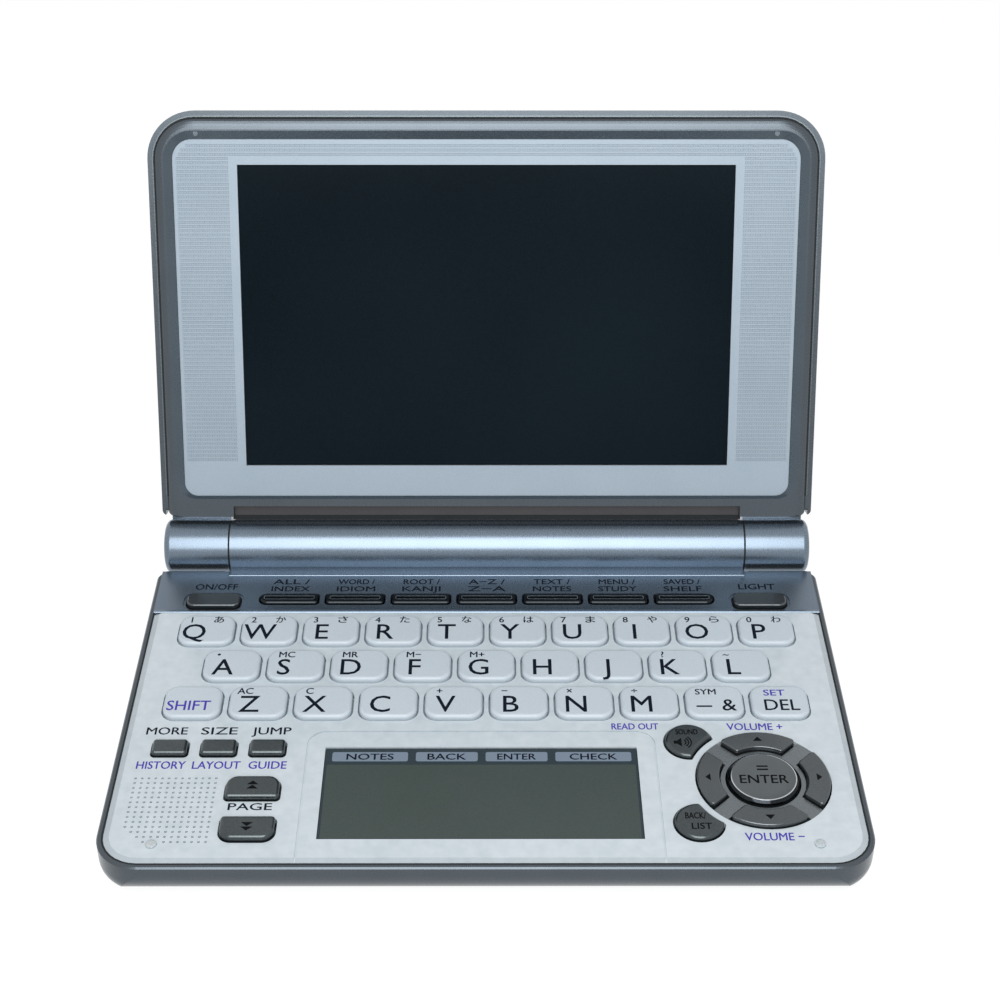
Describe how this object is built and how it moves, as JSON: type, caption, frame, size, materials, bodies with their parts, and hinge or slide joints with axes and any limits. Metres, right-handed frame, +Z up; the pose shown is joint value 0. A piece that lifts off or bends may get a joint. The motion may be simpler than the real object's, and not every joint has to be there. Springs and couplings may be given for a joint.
{
  "type": "electronic dictionary",
  "caption": "Pocket electronic dictionary: a keyboard base with handwriting window and navigation ring, and a display lid on a barrel hinge.",
  "frame": {"origin": "centre of the footprint of the open dictionary, on the plane of its rubber feet", "axes": "+X to the user's right along the hinge, +Y away from the user, +Z up"},
  "size_m": [0.15, 0.1396, 0.1031],
  "materials": {
    "silver_paint": "satin",
    "deck_white": "gloss",
    "bezel_white": "satin",
    "key_white": "satin",
    "gunmetal": "gloss",
    "dark_chrome": "gloss",
    "plate_grey": "satin",
    "display_glass": "gloss",
    "lcd_grey": "satin",
    "steel": "satin",
    "cell": "satin",
    "board_green": "matte",
    "rubber": "matte",
    "speaker_black": "matte"
  },
  "bodies": {
    "base": {"base_lower_case": "silver_paint", "keyboard_deck": "deck_white", "rear_top_cover": "silver_paint", "batteries": "cell", "navigation_plate": "plate_grey", "handwriting_display": "lcd_grey", "speaker": "speaker_black", "circuit_board": "board_green", "key_membrane": "rubber", "screws": "steel", "rubber_feet": "rubber"},
    "lid": {"lid_back_cover": "silver_paint", "lid_front_frame": "silver_paint", "display_bezel": "bezel_white", "main_display": "display_glass", "hinge_pins": "steel"},
    "battery_door": {"battery_cover": "silver_paint"},
    "stylus": {"stylus": "gunmetal"},
    "key_q": {"key_q": "key_white"},
    "key_w": {"key_w": "key_white"},
    "key_e": {"key_e": "key_white"},
    "key_r": {"key_r": "key_white"},
    "key_t": {"key_t": "key_white"},
    "key_y": {"key_y": "key_white"},
    "key_u": {"key_u": "key_white"},
    "key_i": {"key_i": "key_white"},
    "key_o": {"key_o": "key_white"},
    "key_p": {"key_p": "key_white"},
    "key_a": {"key_a": "key_white"},
    "key_s": {"key_s": "key_white"},
    "key_d": {"key_d": "key_white"},
    "key_f": {"key_f": "key_white"},
    "key_g": {"key_g": "key_white"},
    "key_h": {"key_h": "key_white"},
    "key_j": {"key_j": "key_white"},
    "key_k": {"key_k": "key_white"},
    "key_l": {"key_l": "key_white"},
    "key_shift": {"key_shift": "key_white"},
    "key_z": {"key_z": "key_white"},
    "key_x": {"key_x": "key_white"},
    "key_c": {"key_c": "key_white"},
    "key_v": {"key_v": "key_white"},
    "key_b": {"key_b": "key_white"},
    "key_n": {"key_n": "key_white"},
    "key_m": {"key_m": "key_white"},
    "key_symbol": {"key_symbol": "key_white"},
    "key_delete": {"key_delete": "key_white"},
    "key_more_search": {"key_more_search": "gunmetal"},
    "key_text_size": {"key_text_size": "gunmetal"},
    "key_jump": {"key_jump": "gunmetal"},
    "key_page_up": {"key_page_up": "gunmetal"},
    "key_page_down": {"key_page_down": "gunmetal"},
    "key_audio": {"key_audio": "gunmetal"},
    "key_list": {"key_list": "gunmetal"},
    "key_enter": {"key_enter": "gunmetal"},
    "key_power": {"key_power": "gunmetal"},
    "key_backlight": {"key_backlight": "gunmetal"},
    "dictionary_key_comb": {"dictionary_key_comb": "dark_chrome"},
    "up_down_rocker": {"up_down_rocker": "gunmetal"},
    "left_right_rocker": {"left_right_rocker": "gunmetal"}
  },
  "joints": [
    {"name": "lid_hinge", "type": "hinge", "parent": "base", "child": "lid", "pos_m": [0, 0.02917, 0.0115], "axis": [1, 0, 0], "range_deg": [-33.44, 111.56]},
    {"name": "battery_cover_slide", "type": "slide", "parent": "base", "child": "battery_door", "axis": [0, 1, 0], "range_m": [0, 0.014]},
    {"name": "stylus_slide", "type": "slide", "parent": "base", "child": "stylus", "axis": [0, 1, 0], "range_m": [0, 0.086]},
    {"name": "key_q_press", "type": "slide", "parent": "base", "child": "key_q", "axis": [0, 0, -1], "range_m": [0, 0.0008], "stiffness_N_per_m": 300, "springref_m": -0.0008},
    {"name": "key_w_press", "type": "slide", "parent": "base", "child": "key_w", "axis": [0, 0, -1], "range_m": [0, 0.0008], "stiffness_N_per_m": 300, "springref_m": -0.0008},
    {"name": "key_e_press", "type": "slide", "parent": "base", "child": "key_e", "axis": [0, 0, -1], "range_m": [0, 0.0008], "stiffness_N_per_m": 300, "springref_m": -0.0008},
    {"name": "key_r_press", "type": "slide", "parent": "base", "child": "key_r", "axis": [0, 0, -1], "range_m": [0, 0.0008], "stiffness_N_per_m": 300, "springref_m": -0.0008},
    {"name": "key_t_press", "type": "slide", "parent": "base", "child": "key_t", "axis": [0, 0, -1], "range_m": [0, 0.0008], "stiffness_N_per_m": 300, "springref_m": -0.0008},
    {"name": "key_y_press", "type": "slide", "parent": "base", "child": "key_y", "axis": [0, 0, -1], "range_m": [0, 0.0008], "stiffness_N_per_m": 300, "springref_m": -0.0008},
    {"name": "key_u_press", "type": "slide", "parent": "base", "child": "key_u", "axis": [0, 0, -1], "range_m": [0, 0.0008], "stiffness_N_per_m": 300, "springref_m": -0.0008},
    {"name": "key_i_press", "type": "slide", "parent": "base", "child": "key_i", "axis": [0, 0, -1], "range_m": [0, 0.0008], "stiffness_N_per_m": 300, "springref_m": -0.0008},
    {"name": "key_o_press", "type": "slide", "parent": "base", "child": "key_o", "axis": [0, 0, -1], "range_m": [0, 0.0008], "stiffness_N_per_m": 300, "springref_m": -0.0008},
    {"name": "key_p_press", "type": "slide", "parent": "base", "child": "key_p", "axis": [0, 0, -1], "range_m": [0, 0.0008], "stiffness_N_per_m": 300, "springref_m": -0.0008},
    {"name": "key_a_press", "type": "slide", "parent": "base", "child": "key_a", "axis": [0, 0, -1], "range_m": [0, 0.0008], "stiffness_N_per_m": 300, "springref_m": -0.0008},
    {"name": "key_s_press", "type": "slide", "parent": "base", "child": "key_s", "axis": [0, 0, -1], "range_m": [0, 0.0008], "stiffness_N_per_m": 300, "springref_m": -0.0008},
    {"name": "key_d_press", "type": "slide", "parent": "base", "child": "key_d", "axis": [0, 0, -1], "range_m": [0, 0.0008], "stiffness_N_per_m": 300, "springref_m": -0.0008},
    {"name": "key_f_press", "type": "slide", "parent": "base", "child": "key_f", "axis": [0, 0, -1], "range_m": [0, 0.0008], "stiffness_N_per_m": 300, "springref_m": -0.0008},
    {"name": "key_g_press", "type": "slide", "parent": "base", "child": "key_g", "axis": [0, 0, -1], "range_m": [0, 0.0008], "stiffness_N_per_m": 300, "springref_m": -0.0008},
    {"name": "key_h_press", "type": "slide", "parent": "base", "child": "key_h", "axis": [0, 0, -1], "range_m": [0, 0.0008], "stiffness_N_per_m": 300, "springref_m": -0.0008},
    {"name": "key_j_press", "type": "slide", "parent": "base", "child": "key_j", "axis": [0, 0, -1], "range_m": [0, 0.0008], "stiffness_N_per_m": 300, "springref_m": -0.0008},
    {"name": "key_k_press", "type": "slide", "parent": "base", "child": "key_k", "axis": [0, 0, -1], "range_m": [0, 0.0008], "stiffness_N_per_m": 300, "springref_m": -0.0008},
    {"name": "key_l_press", "type": "slide", "parent": "base", "child": "key_l", "axis": [0, 0, -1], "range_m": [0, 0.0008], "stiffness_N_per_m": 300, "springref_m": -0.0008},
    {"name": "key_shift_press", "type": "slide", "parent": "base", "child": "key_shift", "axis": [0, 0, -1], "range_m": [0, 0.0008], "stiffness_N_per_m": 300, "springref_m": -0.0008},
    {"name": "key_z_press", "type": "slide", "parent": "base", "child": "key_z", "axis": [0, 0, -1], "range_m": [0, 0.0008], "stiffness_N_per_m": 300, "springref_m": -0.0008},
    {"name": "key_x_press", "type": "slide", "parent": "base", "child": "key_x", "axis": [0, 0, -1], "range_m": [0, 0.0008], "stiffness_N_per_m": 300, "springref_m": -0.0008},
    {"name": "key_c_press", "type": "slide", "parent": "base", "child": "key_c", "axis": [0, 0, -1], "range_m": [0, 0.0008], "stiffness_N_per_m": 300, "springref_m": -0.0008},
    {"name": "key_v_press", "type": "slide", "parent": "base", "child": "key_v", "axis": [0, 0, -1], "range_m": [0, 0.0008], "stiffness_N_per_m": 300, "springref_m": -0.0008},
    {"name": "key_b_press", "type": "slide", "parent": "base", "child": "key_b", "axis": [0, 0, -1], "range_m": [0, 0.0008], "stiffness_N_per_m": 300, "springref_m": -0.0008},
    {"name": "key_n_press", "type": "slide", "parent": "base", "child": "key_n", "axis": [0, 0, -1], "range_m": [0, 0.0008], "stiffness_N_per_m": 300, "springref_m": -0.0008},
    {"name": "key_m_press", "type": "slide", "parent": "base", "child": "key_m", "axis": [0, 0, -1], "range_m": [0, 0.0008], "stiffness_N_per_m": 300, "springref_m": -0.0008},
    {"name": "key_symbol_press", "type": "slide", "parent": "base", "child": "key_symbol", "axis": [0, 0, -1], "range_m": [0, 0.0008], "stiffness_N_per_m": 300, "springref_m": -0.0008},
    {"name": "key_delete_press", "type": "slide", "parent": "base", "child": "key_delete", "axis": [0, 0, -1], "range_m": [0, 0.0008], "stiffness_N_per_m": 300, "springref_m": -0.0008},
    {"name": "key_more_search_press", "type": "slide", "parent": "base", "child": "key_more_search", "axis": [0, 0, -1], "range_m": [0, 0.0008], "stiffness_N_per_m": 300, "springref_m": -0.0008},
    {"name": "key_text_size_press", "type": "slide", "parent": "base", "child": "key_text_size", "axis": [0, 0, -1], "range_m": [0, 0.0008], "stiffness_N_per_m": 300, "springref_m": -0.0008},
    {"name": "key_jump_press", "type": "slide", "parent": "base", "child": "key_jump", "axis": [0, 0, -1], "range_m": [0, 0.0008], "stiffness_N_per_m": 300, "springref_m": -0.0008},
    {"name": "key_page_up_press", "type": "slide", "parent": "base", "child": "key_page_up", "axis": [0, 0, -1], "range_m": [0, 0.0008], "stiffness_N_per_m": 300, "springref_m": -0.0008},
    {"name": "key_page_down_press", "type": "slide", "parent": "base", "child": "key_page_down", "axis": [0, 0, -1], "range_m": [0, 0.0008], "stiffness_N_per_m": 300, "springref_m": -0.0008},
    {"name": "key_audio_press", "type": "slide", "parent": "base", "child": "key_audio", "axis": [0, 0, -1], "range_m": [0, 0.0008], "stiffness_N_per_m": 300, "springref_m": -0.0008},
    {"name": "key_list_press", "type": "slide", "parent": "base", "child": "key_list", "axis": [0, 0, -1], "range_m": [0, 0.0008], "stiffness_N_per_m": 300, "springref_m": -0.0008},
    {"name": "key_enter_press", "type": "slide", "parent": "base", "child": "key_enter", "axis": [0, 0, -1], "range_m": [0, 0.0008], "stiffness_N_per_m": 300, "springref_m": -0.0008},
    {"name": "key_power_press", "type": "slide", "parent": "base", "child": "key_power", "axis": [0, 0, -1], "range_m": [0, 0.0008], "stiffness_N_per_m": 300, "springref_m": -0.0008},
    {"name": "key_backlight_press", "type": "slide", "parent": "base", "child": "key_backlight", "axis": [0, 0, -1], "range_m": [0, 0.0008], "stiffness_N_per_m": 300, "springref_m": -0.0008},
    {"name": "dictionary_key_comb_press", "type": "slide", "parent": "base", "child": "dictionary_key_comb", "axis": [0, 0, -1], "range_m": [0, 0.0005], "stiffness_N_per_m": 300, "springref_m": -0.0008},
    {"name": "up_down_rocker_tilt", "type": "hinge", "parent": "base", "child": "up_down_rocker", "pos_m": [0.0552, -0.04648, 0.0079], "axis": [1, 0, 0], "range_deg": [-2, 2], "stiffness_Nm_per_rad": 0.15},
    {"name": "left_right_rocker_tilt", "type": "hinge", "parent": "base", "child": "left_right_rocker", "pos_m": [0.0552, -0.04648, 0.0068], "axis": [0, 1, 0], "range_deg": [-2, 2], "stiffness_Nm_per_rad": 0.15}
  ]
}
